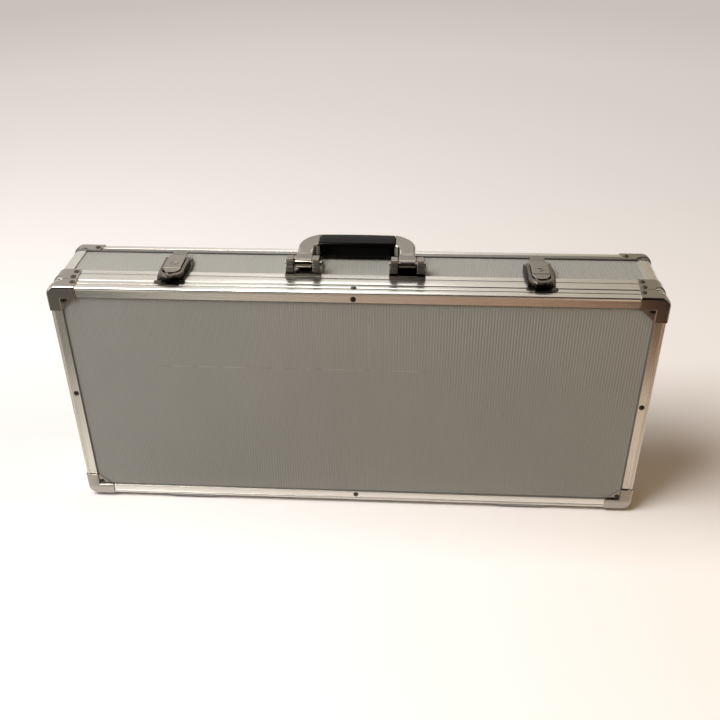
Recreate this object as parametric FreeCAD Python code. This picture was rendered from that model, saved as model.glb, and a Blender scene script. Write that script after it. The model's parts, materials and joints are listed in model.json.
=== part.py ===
import FreeCAD, Part
import math
import os
from FreeCAD import Placement, Rotation, Vector

# Carrying case for poker chips, standing on its hinge side with the lid facing -Y.
# All sizes are in millimetres. X runs along the case, Y through its depth from the lid to the
# back, and Z goes up from the soles of the feet. The origin is under the middle of the case.
# In names, "along" is measured along a side, "y" is a depth behind the front face of the lid,
# and "out" is a height above the outer face of a side (negative inside the case).

# Outer sizes of the case
case_width = 560.0
case_height = 244.0
case_depth = 88.7
corner_radius = 8.5
edge_radius = 1.5
lid_depth = 15.3
rim_depth = 19.9
back_edge_depth = 12.5
parting_gap = 0.4
parting_chamfer = 0.7

# Aluminium extrusions
border_width = 10.8
bead_width = 3.6
bead_height = 0.6
bead_slope = 0.35
lip_thickness = 1.4
web_thickness = 2.0
wall_thickness = 1.3
flange_reach = 6.0
panel_grip = 8.0
crown_drop = 0.25
groove_depth = 0.7
groove_width = 1.0
rim_flat_width = 8.0
slot_depth = 7.0
post_width = 14.0
post_overlap = 2.2
corner_wall = 1.6

# Panels and the clearances that they fit with
face_panel_thickness = 3.2
side_panel_thickness = 3.0
side_panel_recess = 1.6
slot_gap = 0.1
edge_gap = 0.3

# Steel corner caps and braces
cap_thickness = 0.9
cap_arm_along = 26.0
cap_arm_down = 24.5
cap_taper = 0.8
back_arm = 29.5
back_taper = 2.0
brace_arm = 25.0
brace_taper = 2.2
cap_notch_reach = 12.0
cap_notch_length = 13.6
back_notch_reach = 16.0
cap_seat_gap = 0.05

# Rivets
rivet_head_radius = 2.6
rivet_head_height = 0.9
rivet_shank_radius = 1.5
rivet_hole_gap = 0.05
rivet_eye_radius = 0.9
rivet_rim = 0.4
rivet_dome = 0.8
lid_rivet_setback = 6.2
brace_rivet_lead = 4.0
cap_rivet_inset = 22.2
brace_rivet_inset = 19.7
back_rivet_inset = 24.3
brace_rivet_spacing = 10.0
end_rivet_height = 4.0

# Hinges on the underside
hinge_inset = 110.0
hinge_width = 48.0
hinge_leaf_length = 13.0
hinge_leaf_thickness = 1.2
hinge_knuckles = 5
knuckle_radius = 1.7
knuckle_gap = 0.2
hinge_pin_radius = 1.0
turning_gap = 0.05
moving_gap = 0.3

# Feet
foot_height = 4.2
foot_radius = 8.0
foot_draft = 1.2
foot_inset = 58.0
foot_front_y = 25.3
foot_back_inset = 21.5

# Handle
bracket_spacing = 96.0
bracket_width = 33.8
bracket_length = 27.5
bracket_thickness = 2.2
bracket_lead = 6.0
ear_thickness = 8.1
ear_lean = 1.9
ear_front = 7.2
ear_back = 7.2
ear_top_back = 1.5
ear_rise = 7.4
pivot_height = 9.0
pivot_setback = 10.0
handle_pin_radius = 2.5
pin_fit = 0.03
barrel_gap = 1.2
barrel_radius = 4.4
arm_gap = 0.4
arm_rise = 6.5
handle_reach = 38.3
grip_length = 71.0
grip_width = 22.8
grip_thickness = 15.6
grip_corner = 4.0
core_radius = 4.5
core_fit = 0.05
elbow_inset = 1.4
elbow_length = 28.0
elbow_bulge = 6.1
elbow_proud = 1.5
arm_edge_radius = 2.2

# Latches
latch_inset = 111.2
latch_base_thickness = 1.5
latch_base_front = 1.8
latch_base_length = 42.5
latch_base_width = 25.0
latch_base_bulge = 29.0
lever_pivot_y = 6.3
lever_pivot_height = 4.4
lever_pin_radius = 1.0
lever_width = 16.2
lever_height = 8.5
lever_plate = 1.8
lever_skirt = 1.8
lever_nose = 2.5
lever_length = 30.5
tab_width = 14.0
tab_length = 15.5
tab_thickness = 2.0
tab_drop = 2.0
step_y = 5.6
step_drop = 1.0
step_edge = 0.4
wall_height = 7.0
wall_end = 36.0
base_rivet_inset = 3.4
lever_ear_thickness = 1.8
lever_lug_thickness = 1.5
lever_ear_radius = 2.0
hook_crank = 10.0
hook_rail = 2.7
hook_height = 7.2
hook_front_thickness = 3.8
hook_front_y = 2.7
trunnion_radius = 1.2
side_gap = 0.5
lock_y = 21.0
lock_radius = 3.9
lock_proud = 0.3
lock_boss_wall = 1.3
lock_boss_depth = 0.8
lock_stem_radius = 1.4
cam_thickness = 1.2
cam_width = 3.0
keyway_length = 4.6
keyway_width = 1.3
keyway_depth = 2.0
keeper_thickness = 0.8
keeper_reach = 3.2
keeper_length = 3.4
strike_width = 28.4
strike_nose_width = 14.6
strike_length = 8.0
strike_thickness = 1.0
strike_ridge_height = 1.0
strike_ridge_thickness = 1.8

# Chip tray and lid foam
tray_clearance = 0.5
tray_wall = 2.4
tray_drop = 18.5
tray_margin = 7.0
chip_radius = 20.3
chip_rows = 5
chip_pitch = 42.6
chip_bank_length = 171.0
well_gap = 8.0
card_well_width = 67.0
card_well_height = 93.0
card_well_depth = 22.0
dice_well_width = 96.0
dice_well_height = 21.0
dice_well_depth = 20.0
button_well_radius = 27.0
button_well_depth = 14.0
lid_foam_gap = 0.3
lid_foam_thickness = 7.4

# Places worked out from the sizes above
side_middle = foot_height + case_height / 2
front = -case_depth / 2
rim_front = lid_depth + parting_gap / 2
rim_back = lid_depth + rim_depth
back_edge_front = case_depth - back_edge_depth
lid_back = lid_depth - parting_gap / 2
lip_back = bead_height + lip_thickness
side_panel_back = side_panel_recess + side_panel_thickness + slot_gap
inner_face = side_panel_back + wall_thickness
panel_slot = face_panel_thickness + slot_gap
hinge_offset = case_width / 2 - hinge_inset
foot_offset = case_width / 2 - foot_inset
latch_offset = case_width / 2 - latch_inset
reach_all = case_depth * 2
sides = {"top": 0, "right": 90, "bottom": 180, "left": -90}
corners = {"top_right": (1, 1), "top_left": (-1, 1), "bottom_right": (1, -1), "bottom_left": (-1, -1)}

lid = {}
body = {}
handle = {}
latches = {}


def outline(start, *steps):
    """A closed face in the plane of y and out. A step is an end point, or a point on the way
    and an end point where the edge is an arc."""
    edges = []
    here = Vector(0, *start)
    for step in steps:
        if isinstance(step[0], tuple):
            way, end = Vector(0, *step[0]), Vector(0, *step[1])
            edges.append(Part.Arc(here, way, end).toShape())
        else:
            end = Vector(0, *step)
            edges.append(Part.LineSegment(here, end).toShape())
        here = end
    first = Vector(0, *start)
    if here.distanceToPoint(first) > 1e-6:
        edges.append(Part.LineSegment(here, first).toShape())
    return Part.Face(Part.Wire(edges))


def bar(face, length, middle=0.0):
    """A straight bar with the given section in y and out, running along a side."""
    moved = face.translated(Vector(middle - length / 2, 0, 0))
    return moved.extrude(Vector(length, 0, 0))


def plan(points, bottom, top):
    """A plate with the given outline in along and y. A point of four numbers is an arc: the
    point on the way, then the end."""
    edges = []
    here = Vector(points[0][0], points[0][1], bottom)
    first = here
    for point in list(points[1:]) + [points[0]]:
        end = Vector(point[-2], point[-1], bottom)
        if len(point) == 4:
            way = Vector(point[0], point[1], bottom)
            edges.append(Part.Arc(here, way, end).toShape())
        elif here.distanceToPoint(end) > 1e-6:
            edges.append(Part.LineSegment(here, end).toShape())
        here = end
    if here.distanceToPoint(first) > 1e-6:
        edges.append(Part.LineSegment(here, first).toShape())
    return Part.Face(Part.Wire(edges)).extrude(Vector(0, 0, top - bottom))


def box(along, y, out):
    """A block between two values of each measure."""
    low = Vector(min(along), min(y), min(out))
    return Part.makeBox(abs(along[1] - along[0]), abs(y[1] - y[0]), abs(out[1] - out[0]), low)


def rod(radius, along, y, out):
    """A round rod along a side, between two values of along."""
    return Part.makeCylinder(radius, along[1] - along[0], Vector(along[0], y, out), Vector(1, 0, 0))


def post(radius, along, y, out):
    """A round rod standing on a side, between two values of out."""
    return Part.makeCylinder(radius, out[1] - out[0], Vector(along, y, out[0]), Vector(0, 0, 1))


def on_side(shape, side):
    """Moves a shape made in along, y and out onto one side of the case."""
    turn = Rotation(Vector(0, 1, 0), sides[side])
    half = case_height / 2 if side in ("top", "bottom") else case_width / 2
    place = Placement(Vector(0, front, side_middle), turn) * Placement(Vector(0, 0, half), Rotation())
    moved = shape.copy()
    moved.Placement = place * moved.Placement
    return moved


def rounded_block(inset, y, edge_front=0.0, edge_back=0.0):
    """The case's own outline, inset (or grown, if negative), between two depths, with its
    front or back edges rounded."""
    width = case_width - 2 * inset
    height = case_height - 2 * inset
    radius = corner_radius - inset
    low = Vector(-width / 2, front + y[0], side_middle - height / 2)
    block = Part.makeBox(width, y[1] - y[0], height, low)
    uprights = [e for e in block.Edges if e.Vertexes[0].Point.y != e.Vertexes[1].Point.y]
    block = block.makeFillet(radius, uprights)
    for depth, rounding in ((y[0], edge_front), (y[1], edge_back)):
        if rounding > 0:
            level = front + depth
            rim = [e for e in block.Edges if abs(e.BoundBox.YMin - level) < 1e-6
                   and abs(e.BoundBox.YMax - level) < 1e-6]
            block = block.makeFillet(rounding, rim)
    return block


def mirrored(shape, across, up):
    """A shape made at the top right corner, mirrored to another corner."""
    if across < 0:
        shape = shape.mirror(Vector(0, 0, 0), Vector(1, 0, 0))
    if up < 0:
        shape = shape.mirror(Vector(0, 0, side_middle), Vector(0, 0, 1))
    return shape


def turned_over(shape):
    """A shape made for the front face, mirrored to the back face."""
    return shape.mirror(Vector(0, 0, 0), Vector(0, 1, 0))


def crowned(start, end, count):
    """Steps over the outer face of an extrusion: shallow crowns with grooves between them."""
    pitch = (end - start) / count
    steps = []
    for number in range(count):
        left = start + number * pitch
        if number > 0:
            left += groove_width / 2
        right = start + (number + 1) * pitch
        if number < count - 1:
            right -= groove_width / 2
        steps.append((((left + right) / 2, 0), (right, -crown_drop)))
        if number < count - 1:
            steps.append((right, -groove_depth))
            steps.append((right + groove_width, -groove_depth))
            steps.append((right + groove_width, -crown_drop))
    return steps


def rounded_arris():
    """The rounded outer edge of an extrusion: a point on the way and its end, in y and out."""
    part = edge_radius * (1 - math.sqrt(0.5))
    return (part, -part - crown_drop), (edge_radius, -crown_drop)


def lid_section():
    """Lid extrusion: a grooved outer web, the front border, a slot for the panel and a flange
    that meets the body."""
    slot_back = lip_back + panel_slot
    return outline(
        (lip_back, -border_width), (bead_height, -border_width), (bead_height, -bead_width),
        (bead_slope, -bead_width), (0, -edge_radius - crown_drop), rounded_arris(),
        *crowned(edge_radius, lid_back - parting_chamfer, 2),
        (lid_back, -crown_drop - parting_chamfer),
        (lid_back, -flange_reach), (lid_back - wall_thickness, -flange_reach),
        (lid_back - wall_thickness, -web_thickness), (slot_back + wall_thickness, -web_thickness),
        (slot_back + wall_thickness, -panel_grip), (slot_back, -panel_grip),
        (slot_back, -web_thickness), (lip_back, -web_thickness))


def rim_section():
    """Body extrusion at the opening: a broad crown, a groove and a flat that overlaps the side
    panel."""
    flat_front = rim_back - rim_flat_width
    slot_end = rim_back - slot_depth
    inner = slot_end - wall_thickness
    return outline(
        (rim_front, -crown_drop - parting_chamfer), (rim_front + parting_chamfer, -crown_drop),
        *crowned(rim_front + parting_chamfer, flat_front, 1),
        (flat_front, -groove_depth), (flat_front + groove_width, -groove_depth),
        (flat_front + groove_width, -crown_drop),
        (rim_back, -crown_drop), (rim_back, -side_panel_recess),
        (slot_end, -side_panel_recess), (slot_end, -side_panel_back),
        (rim_back, -side_panel_back), (rim_back, -inner_face), (inner, -inner_face),
        (inner, -web_thickness), (rim_front + wall_thickness, -web_thickness),
        (rim_front + wall_thickness, -flange_reach), (rim_front, -flange_reach))


def back_section():
    """Extrusion round the back: the side panels enter one slot and the back panel the other."""
    lip = case_depth - lip_back
    back_slot = lip - panel_slot
    side_slot = back_slot - wall_thickness
    way, end = rounded_arris()
    return outline(
        (back_edge_front, -crown_drop),
        *crowned(back_edge_front, case_depth - edge_radius, 2),
        ((case_depth - way[0], way[1]), (case_depth, -edge_radius - crown_drop)),
        (case_depth - bead_slope, -bead_width), (case_depth - bead_height, -bead_width),
        (case_depth - bead_height, -border_width), (lip, -border_width), (lip, -web_thickness),
        (back_slot, -web_thickness), (back_slot, -panel_grip), (side_slot, -panel_grip),
        (side_slot, -inner_face), (back_edge_front, -inner_face),
        (back_edge_front, -side_panel_back), (side_slot, -side_panel_back),
        (side_slot, -side_panel_recess), (back_edge_front, -side_panel_recess))


def mitre(side):
    """The space of one side of the frame, cut off at 45 degrees at its two ends."""
    half = (case_width if side in ("top", "bottom") else case_height) / 2
    spare, deep = corner_radius, border_width + corner_radius
    points = [(-half - spare, spare), (half + spare, spare), (half - deep, -deep), (-half + deep, -deep)]
    corners_xz = [Vector(along, -case_depth / 2, out) for along, out in points]
    face = Part.Face(Part.makePolygon(corners_xz + corners_xz[:1]))
    return on_side(face.extrude(Vector(0, reach_all, 0)), side)


def frame_bars(section, shell_y, envelope):
    """The four mitred bars of one extruded frame, with a rounded wall at each corner."""
    length = max(case_width, case_height)
    shell = rounded_block(0, shell_y).cut(rounded_block(corner_wall, shell_y))
    keep = []
    for across, up in corners.values():
        square = Part.makeBox(corner_radius, reach_all, corner_radius, Vector(
            case_width / 2 - corner_radius, -case_depth, side_middle + case_height / 2 - corner_radius))
        keep.append(mirrored(square, across, up))
    shell = shell.common(Part.makeCompound(keep))
    bars = {}
    for side in sides:
        space = mitre(side)
        straight = on_side(bar(section, length), side).common(space).common(envelope)
        bars[side] = straight.fuse(shell.common(space)).removeSplitter()
    return bars


def face_panel(y):
    """A flat panel in the slots of one frame, between two depths."""
    return rounded_block(web_thickness + edge_gap, y)


def corner_space(along, down, taper, y):
    """The space that a cap takes up round the top right corner: how far it reaches along the top
    and down the side. Behind the front face, its reach shrinks by a taper up to its end."""
    right, top = case_width / 2, side_middle + case_height / 2
    spare = 2 * cap_thickness
    depths = (front + y[0], front + max(y[0], 0), front + y[1])
    reaches = (0, 0, taper)
    over = [Vector(right - along + less, depth, 0) for depth, less in zip(depths, reaches)]
    over += [Vector(right + spare, depths[-1], 0), Vector(right + spare, depths[0], 0)]
    beside = [Vector(0, depth, top - down + less) for depth, less in zip(depths, reaches)]
    beside += [Vector(0, depths[-1], top + spare), Vector(0, depths[0], top + spare)]
    if y[0] >= 0:
        del over[0], beside[0]
    upright = Part.Face(Part.makePolygon(over + over[:1])).extrude(Vector(0, 0, 2 * top))
    level = Part.Face(Part.makePolygon(beside + beside[:1])).extrude(Vector(case_width, 0, 0))
    return upright.common(level)


def corner_cap(along, down, taper, y_end, notch_reach):
    """A pressed steel cap over the top right corner of the lid: an L on the front face, a
    flange on each side, and a lower triangle between the arms that carries a rivet."""
    outer = rounded_block(-cap_thickness - cap_seat_gap, (-cap_thickness - cap_seat_gap, y_end),
                          edge_radius + cap_thickness)
    inner = rounded_block(-cap_seat_gap, (-cap_seat_gap, y_end + cap_thickness), edge_radius)
    right, top = case_width / 2, side_middle + case_height / 2
    inner_x, inner_z = right - border_width, top - border_width
    window = Part.makeBox(case_width, reach_all, case_height, Vector(
        inner_x - case_width, front - case_depth, inner_z - case_height))
    space = corner_space(along, down, taper, (-cap_thickness - cap_seat_gap, y_end))
    cap = outer.cut(inner).common(space).cut(window)
    level = front + lip_back
    riser_y = front - cap_seat_gap - cap_thickness
    riser = level - riser_y
    fold_x = Part.makeBox(along - border_width, riser, cap_thickness, Vector(
        right - along, riser_y, inner_z - cap_thickness))
    fold_z = Part.makeBox(cap_thickness, riser, down - border_width, Vector(
        inner_x - cap_thickness, riser_y, top - down))
    slope = [Vector(inner_x, level, inner_z), Vector(right - along, level, inner_z),
             Vector(inner_x, level, top - down)]
    gusset = Part.Face(Part.makePolygon(slope + slope[:1])).extrude(Vector(0, -cap_thickness, 0))
    lean = [Vector(inner_x, riser_y, inner_z), Vector(right - along - cap_thickness, riser_y, inner_z),
            Vector(inner_x, riser_y, top - down - cap_thickness)]
    wedge = Part.Face(Part.makePolygon(lean + lean[:1])).extrude(Vector(0, reach_all, 0))
    folds = fold_x.fuse(fold_z).common(wedge)
    cap = cap.fuse([folds, gusset]).removeSplitter()
    return cap.cut(corner_notch(notch_reach, y_end))


def corner_notch(reach, y):
    """The round-ended cut across a rounded corner, which leaves the extrusion showing."""
    corner = Vector(case_width / 2, front + y, side_middle + case_height / 2)
    through = Vector(reach, 0, reach)
    wide = Vector(reach / 2, 0, -reach / 2)
    deep = Vector(0, cap_notch_length / 2, 0)
    if wide.Length > deep.Length:
        rim = Part.Ellipse(corner - through + wide, corner - through + deep, corner - through)
    else:
        rim = Part.Ellipse(corner - through + deep, corner - through + wide, corner - through)
    return Part.Face(Part.Wire([rim.toShape()])).extrude(through * 2)


def corner_brace():
    """A pressed steel angle round the top right corner of the body's rim."""
    y = (rim_front, rim_back - moving_gap)
    outer = rounded_block(-cap_thickness - cap_seat_gap, y)
    inner = rounded_block(-cap_seat_gap, (y[0] - cap_thickness, y[1] + cap_thickness))
    shell = outer.cut(inner).common(corner_space(brace_arm, brace_arm, brace_taper, y))
    return shell.cut(corner_notch(cap_notch_reach, lid_depth))


def rivet(grip):
    """A tubular rivet standing on out = 0, with a domed head and an eye, and a shank of the
    given length below it."""
    head = Part.Face(Part.Wire([
        Part.LineSegment(Vector(0, 0, 0), Vector(rivet_head_radius, 0, 0)).toShape(),
        Part.LineSegment(Vector(rivet_head_radius, 0, 0), Vector(rivet_head_radius, 0, rivet_rim)).toShape(),
        Part.Arc(Vector(rivet_head_radius, 0, rivet_rim),
                 Vector((rivet_head_radius + rivet_eye_radius) / 2, 0, rivet_dome),
                 Vector(rivet_eye_radius, 0, rivet_head_height)).toShape(),
        Part.LineSegment(Vector(rivet_eye_radius, 0, rivet_head_height), Vector(0, 0, 0)).toShape()]))
    head = head.revolve(Vector(0, 0, 0), Vector(0, 0, 1), 360)
    shank = post(rivet_shank_radius, 0, 0, (-grip, 0))
    eye = post(rivet_eye_radius, 0, 0, (-grip / 2, rivet_head_height))
    return Part.Solid(head).fuse(shank).cut(eye).removeSplitter()


def rivet_hole(grip):
    """The hole that a rivet's shank fits in."""
    return post(rivet_shank_radius + rivet_hole_gap, 0, 0, (-grip - rivet_hole_gap, 0))


def add_side_rivet(rivets, holes, side, along, y, seat, grip):
    """A rivet through a side of the case, with its head seated at a given height."""
    place = Vector(along, y, seat)
    rivets.append(on_side(rivet(grip).translated(place), side))
    holes.append(on_side(rivet_hole(grip).translated(place), side))


def add_face_rivet(rivets, holes, x, z, seat_y, grip):
    """A rivet through the front face of the lid, with its head seated at a given depth."""
    place = Vector(x, front + seat_y, side_middle + z)
    for group, shape in ((rivets, rivet(grip)), (holes, rivet_hole(grip))):
        group.append(shape.rotated(Vector(0, 0, 0), Vector(1, 0, 0), 90).translated(place))


def drill(nodes, holes):
    """Gives every rivet its hole in the pieces that it passes through."""
    for name, shape in nodes.items():
        near = [hole for hole in holes if hole.BoundBox.intersect(shape.BoundBox)]
        if near:
            nodes[name] = shape.cut(near)


def half_side(side):
    """Half the length of a side."""
    return (case_width if side in ("top", "bottom") else case_height) / 2


def save(nodes):
    """Writes one STEP file for each node."""
    for name, shape in nodes.items():
        for solid in shape.Solids:
            if not solid.isValid():
                print("not valid:", name)
        print(name, len(shape.Solids), "solid(s), volume", round(shape.Volume))
        shape.exportStep("parts/" + name + ".step")


os.makedirs("parts", exist_ok=True)

# Lid: four mitred extrusions, the face panel in their slot and a foam sheet behind it
lid_envelope = rounded_block(0, (0, lid_back), edge_front=edge_radius)
for side, shape in frame_bars(lid_section(), (lip_back, lid_back), lid_envelope).items():
    lid["lid_frame_" + side] = shape
lid["lid_panel"] = face_panel((lip_back, lip_back + face_panel_thickness))
foam_front = lip_back + panel_slot + lid_foam_gap
foam = rounded_block(panel_grip + lid_foam_gap, (foam_front, foam_front + lid_foam_thickness))
lid["lid_foam"] = foam

# Body: the rim, the back frame, five panels and a post in each corner
body_envelope = rounded_block(0, (rim_front, case_depth), edge_back=edge_radius)
for side, shape in frame_bars(rim_section(), (rim_front, rim_back), body_envelope).items():
    body["body_rim_" + side] = shape
back_shell = (back_edge_front, case_depth - lip_back)
for side, shape in frame_bars(back_section(), back_shell, body_envelope).items():
    body["back_frame_" + side] = shape
back_panel_back = case_depth - lip_back
body["back_panel"] = face_panel((back_panel_back - face_panel_thickness, back_panel_back))
panel_end = max(post_width - post_overlap, corner_radius) + edge_gap
panel_front = rim_back - slot_depth + edge_gap
panel_back = back_panel_back - panel_slot - wall_thickness - edge_gap
panel_out = (-side_panel_recess - side_panel_thickness, -side_panel_recess)
for side in sides:
    end = half_side(side) - panel_end
    body["side_panel_" + side] = on_side(box((-end, end), (panel_front, panel_back), panel_out), side)


def corner_post():
    """The extrusion that joins two side panels at the top right corner."""
    y = (rim_back, back_edge_front)
    right, top = case_width / 2, side_middle + case_height / 2
    length = y[1] - y[0]
    depth = post_width + slot_depth - post_overlap
    block = rounded_block(crown_drop, y)
    outer = Part.makeBox(depth, length, depth, Vector(right - depth, front + y[0], top - depth))
    inside = Part.makeBox(depth, length, depth, Vector(
        right - inner_face - depth, front + y[0], top - inner_face - depth))
    shape = block.common(outer).cut(inside)
    slot = side_panel_back - side_panel_recess
    far = depth + 1
    cuts = []
    start = post_width - post_overlap
    cuts.append(Part.makeBox(far, length, slot, Vector(
        right - start - far, front + y[0], top - side_panel_back)))
    cuts.append(Part.makeBox(slot, length, far, Vector(
        right - side_panel_back, front + y[0], top - start - far)))
    cuts.append(Part.makeBox(far, length, side_panel_recess, Vector(
        right - post_width - far, front + y[0], top - side_panel_recess)))
    cuts.append(Part.makeBox(side_panel_recess, length, far, Vector(
        right - side_panel_recess, front + y[0], top - post_width - far)))
    return shape.cut(cuts)


post_shape = corner_post()
lid_cap = corner_cap(cap_arm_along, cap_arm_down, cap_taper, lid_back, cap_notch_reach)
back_cap = turned_over(corner_cap(back_arm, back_arm, back_taper, back_edge_depth, back_notch_reach))
brace = corner_brace()
for name, (across, up) in corners.items():
    body["corner_post_" + name] = mirrored(post_shape, across, up)
    lid["lid_cap_" + name] = mirrored(lid_cap, across, up)
    body["back_cap_" + name] = mirrored(back_cap, across, up)
    body["rim_brace_" + name] = mirrored(brace, across, up)

# Rivets through the caps, braces and frames
lid_rivets, lid_holes = [], []
body_rivets, body_holes = [], []
cap_seat = cap_seat_gap + cap_thickness
cap_grip = cap_seat + web_thickness
lid_rivet_y = lid_back - lid_rivet_setback
brace_rivets = (rim_front + brace_rivet_lead, rim_front + brace_rivet_lead + brace_rivet_spacing)
back_rivet_y = (back_edge_front + case_depth - edge_radius) / 2
for side in sides:
    middle = half_side(side)
    for end in (-1, 1):
        add_side_rivet(lid_rivets, lid_holes, side, end * (middle - cap_rivet_inset), lid_rivet_y,
                       cap_seat, cap_grip)
        add_side_rivet(body_rivets, body_holes, side, end * (middle - back_rivet_inset),
                       back_rivet_y, cap_seat, cap_grip)
        for y in brace_rivets:
            add_side_rivet(body_rivets, body_holes, side, end * (middle - brace_rivet_inset), y,
                           cap_seat, cap_grip)
    if side != "bottom":
        add_side_rivet(lid_rivets, lid_holes, side, 0, lid_rivet_y, 0, web_thickness)
gusset_grip = cap_thickness + face_panel_thickness
gusset_rivet_inset = border_width + cap_thickness + rivet_head_radius + cap_seat_gap
border_grip = lip_thickness + face_panel_thickness
back_rivets, back_holes = [], []
for group, holes in ((lid_rivets, lid_holes), (back_rivets, back_holes)):
    for across, up in corners.values():
        x = across * (case_width / 2 - gusset_rivet_inset)
        z = up * (case_height / 2 - gusset_rivet_inset)
        add_face_rivet(group, holes, x, z, lip_back - cap_thickness, gusset_grip)
    border = (bead_width + border_width) / 2
    for x, z in ((0, case_height / 2 - border), (0, border - case_height / 2),
                 (case_width / 2 - border, end_rivet_height), (border - case_width / 2, end_rivet_height)):
        add_face_rivet(group, holes, x, z, bead_height, border_grip)
body_rivets += [turned_over(shape) for shape in back_rivets]
body_holes += [turned_over(shape) for shape in back_holes]

# Hinges on the underside, each with two leaves round one pin
hinge_height = knuckle_radius + moving_gap
knuckle_length = hinge_width / hinge_knuckles
hinge_pins = []


def hinge_leaf(middle, direction, first):
    """One leaf, on the body (direction 1) or the lid (-1), with every second knuckle."""
    start = lid_depth + direction * (hinge_height + moving_gap)
    end = lid_depth + direction * (hinge_height + hinge_leaf_length)
    half = hinge_width / 2
    leaf = box((middle - half, middle + half), (start, end), (0, hinge_leaf_thickness))
    knuckles = []
    for number in range(first, hinge_knuckles, 2):
        left = middle - half + number * knuckle_length + knuckle_gap / 2
        right = left + knuckle_length - knuckle_gap
        roll = rod(knuckle_radius, (left, right), lid_depth, hinge_height)
        neck = box((left, right), (lid_depth, start), (moving_gap, hinge_leaf_thickness + moving_gap))
        foot = box((left, right), (start, start + direction * hinge_leaf_thickness),
                   (0, hinge_leaf_thickness + moving_gap))
        knuckles.append(roll.fuse([neck, foot]))
    leaf = leaf.fuse(knuckles).removeSplitter()
    bore = rod(hinge_pin_radius + turning_gap, (middle - half, middle + half), lid_depth, hinge_height)
    return leaf.cut(bore)


for name, middle in (("left", hinge_offset), ("right", -hinge_offset)):
    body["hinge_body_leaf_" + name] = on_side(hinge_leaf(middle, 1, 0), "bottom")
    lid["hinge_lid_leaf_" + name] = on_side(hinge_leaf(middle, -1, 1), "bottom")
    half = hinge_width / 2
    hinge_pins.append(on_side(rod(hinge_pin_radius, (middle - half, middle + half), lid_depth,
                                  hinge_height), "bottom"))
    leaf_middle = hinge_height + (moving_gap + hinge_leaf_length) / 2
    for along in (middle - hinge_width / 3, middle + hinge_width / 3):
        add_side_rivet(body_rivets, body_holes, "bottom", along, lid_depth + leaf_middle,
                       hinge_leaf_thickness, hinge_leaf_thickness + web_thickness)
        add_side_rivet(lid_rivets, lid_holes, "bottom", along, lid_depth - leaf_middle,
                       hinge_leaf_thickness, hinge_leaf_thickness + web_thickness)

# Feet on the hinge side, two on the rim and two on the side panel
feet = []
for y, seat in ((foot_front_y, 0), (case_depth - foot_back_inset, -side_panel_recess)):
    for along in (-foot_offset, foot_offset):
        foot = Part.makeCone(foot_radius, foot_radius - foot_draft, foot_height - seat,
                             Vector(along, y, seat))
        feet.append(on_side(foot, "bottom"))

# Handle brackets: a base that steps down to the side panel, and two ears
bracket_front = rim_back - bracket_lead
bracket_back = bracket_front + bracket_length
pivot_y = bracket_front + pivot_setback
barrel_width = bracket_width - 2 * ear_thickness - 2 * barrel_gap


def stepped_base(face_points, thickness):
    """A base plate on the rim that also fills the step down to the side panel."""
    plate = plan(face_points, 0, thickness)
    below = plan(face_points, -side_panel_recess, 0)
    behind = box((-case_width, case_width), (rim_back + slot_gap, case_depth), (-side_panel_recess, 0))
    return plate.fuse(below.common(behind)).removeSplitter()


def handle_bracket(middle):
    """One bracket, with a square ear at each side of the handle's barrel that narrows upwards."""
    left, right = middle - bracket_width / 2, middle + bracket_width / 2
    shape = stepped_base([(left, bracket_front), (right, bracket_front), (right, bracket_back),
                          (left, bracket_back)], bracket_thickness)
    top = pivot_height + ear_rise
    front, back = pivot_y - ear_front, pivot_y + ear_back
    for outer, side in ((left, 1), (right, -1)):
        inner = outer + side * ear_thickness
        across = [Vector(outer, front, 0), Vector(inner, front, 0), Vector(inner, front, top),
                  Vector(outer + side * ear_lean, front, top)]
        ear = Part.Face(Part.makePolygon(across + across[:1])).extrude(Vector(0, back - front, 0))
        along = [Vector(left, front, 0), Vector(left, back, 0), Vector(left, back, bracket_thickness),
                 Vector(left, pivot_y + ear_top_back, top), Vector(left, front, top)]
        side_view = Part.Face(Part.makePolygon(along + along[:1])).extrude(Vector(bracket_width, 0, 0))
        shape = shape.fuse(ear.common(side_view))
    shape = shape.removeSplitter()
    return shape.cut(rod(handle_pin_radius + pin_fit, (left, right), pivot_y, pivot_height))


handle_pins = []
for name, middle in (("left", -bracket_spacing / 2), ("right", bracket_spacing / 2)):
    body["handle_bracket_" + name] = on_side(handle_bracket(middle), "top")
    half = bracket_width / 2
    handle_pins.append(on_side(rod(handle_pin_radius, (middle - half, middle + half), pivot_y,
                                   pivot_height), "top"))
    rivet_y = (pivot_y + ear_back + bracket_back) / 2
    for along in (middle - bracket_width / 4, middle + bracket_width / 4):
        add_side_rivet(body_rivets, body_holes, "top", along, rivet_y, bracket_thickness,
                       bracket_thickness + side_panel_recess + side_panel_thickness)

# Handle: a chromed frame that turns in the brackets, and a moulded grip round its core
grip_y = pivot_y + handle_reach
grip_half = grip_length / 2
arm_low = bracket_thickness + rivet_head_height + 2 * moving_gap
barrel_in = bracket_spacing / 2 - barrel_width / 2
barrel_out = bracket_spacing / 2 + barrel_width / 2
arm_in = barrel_in - barrel_gap + arm_gap
arm_out = barrel_out + barrel_gap - arm_gap


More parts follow.
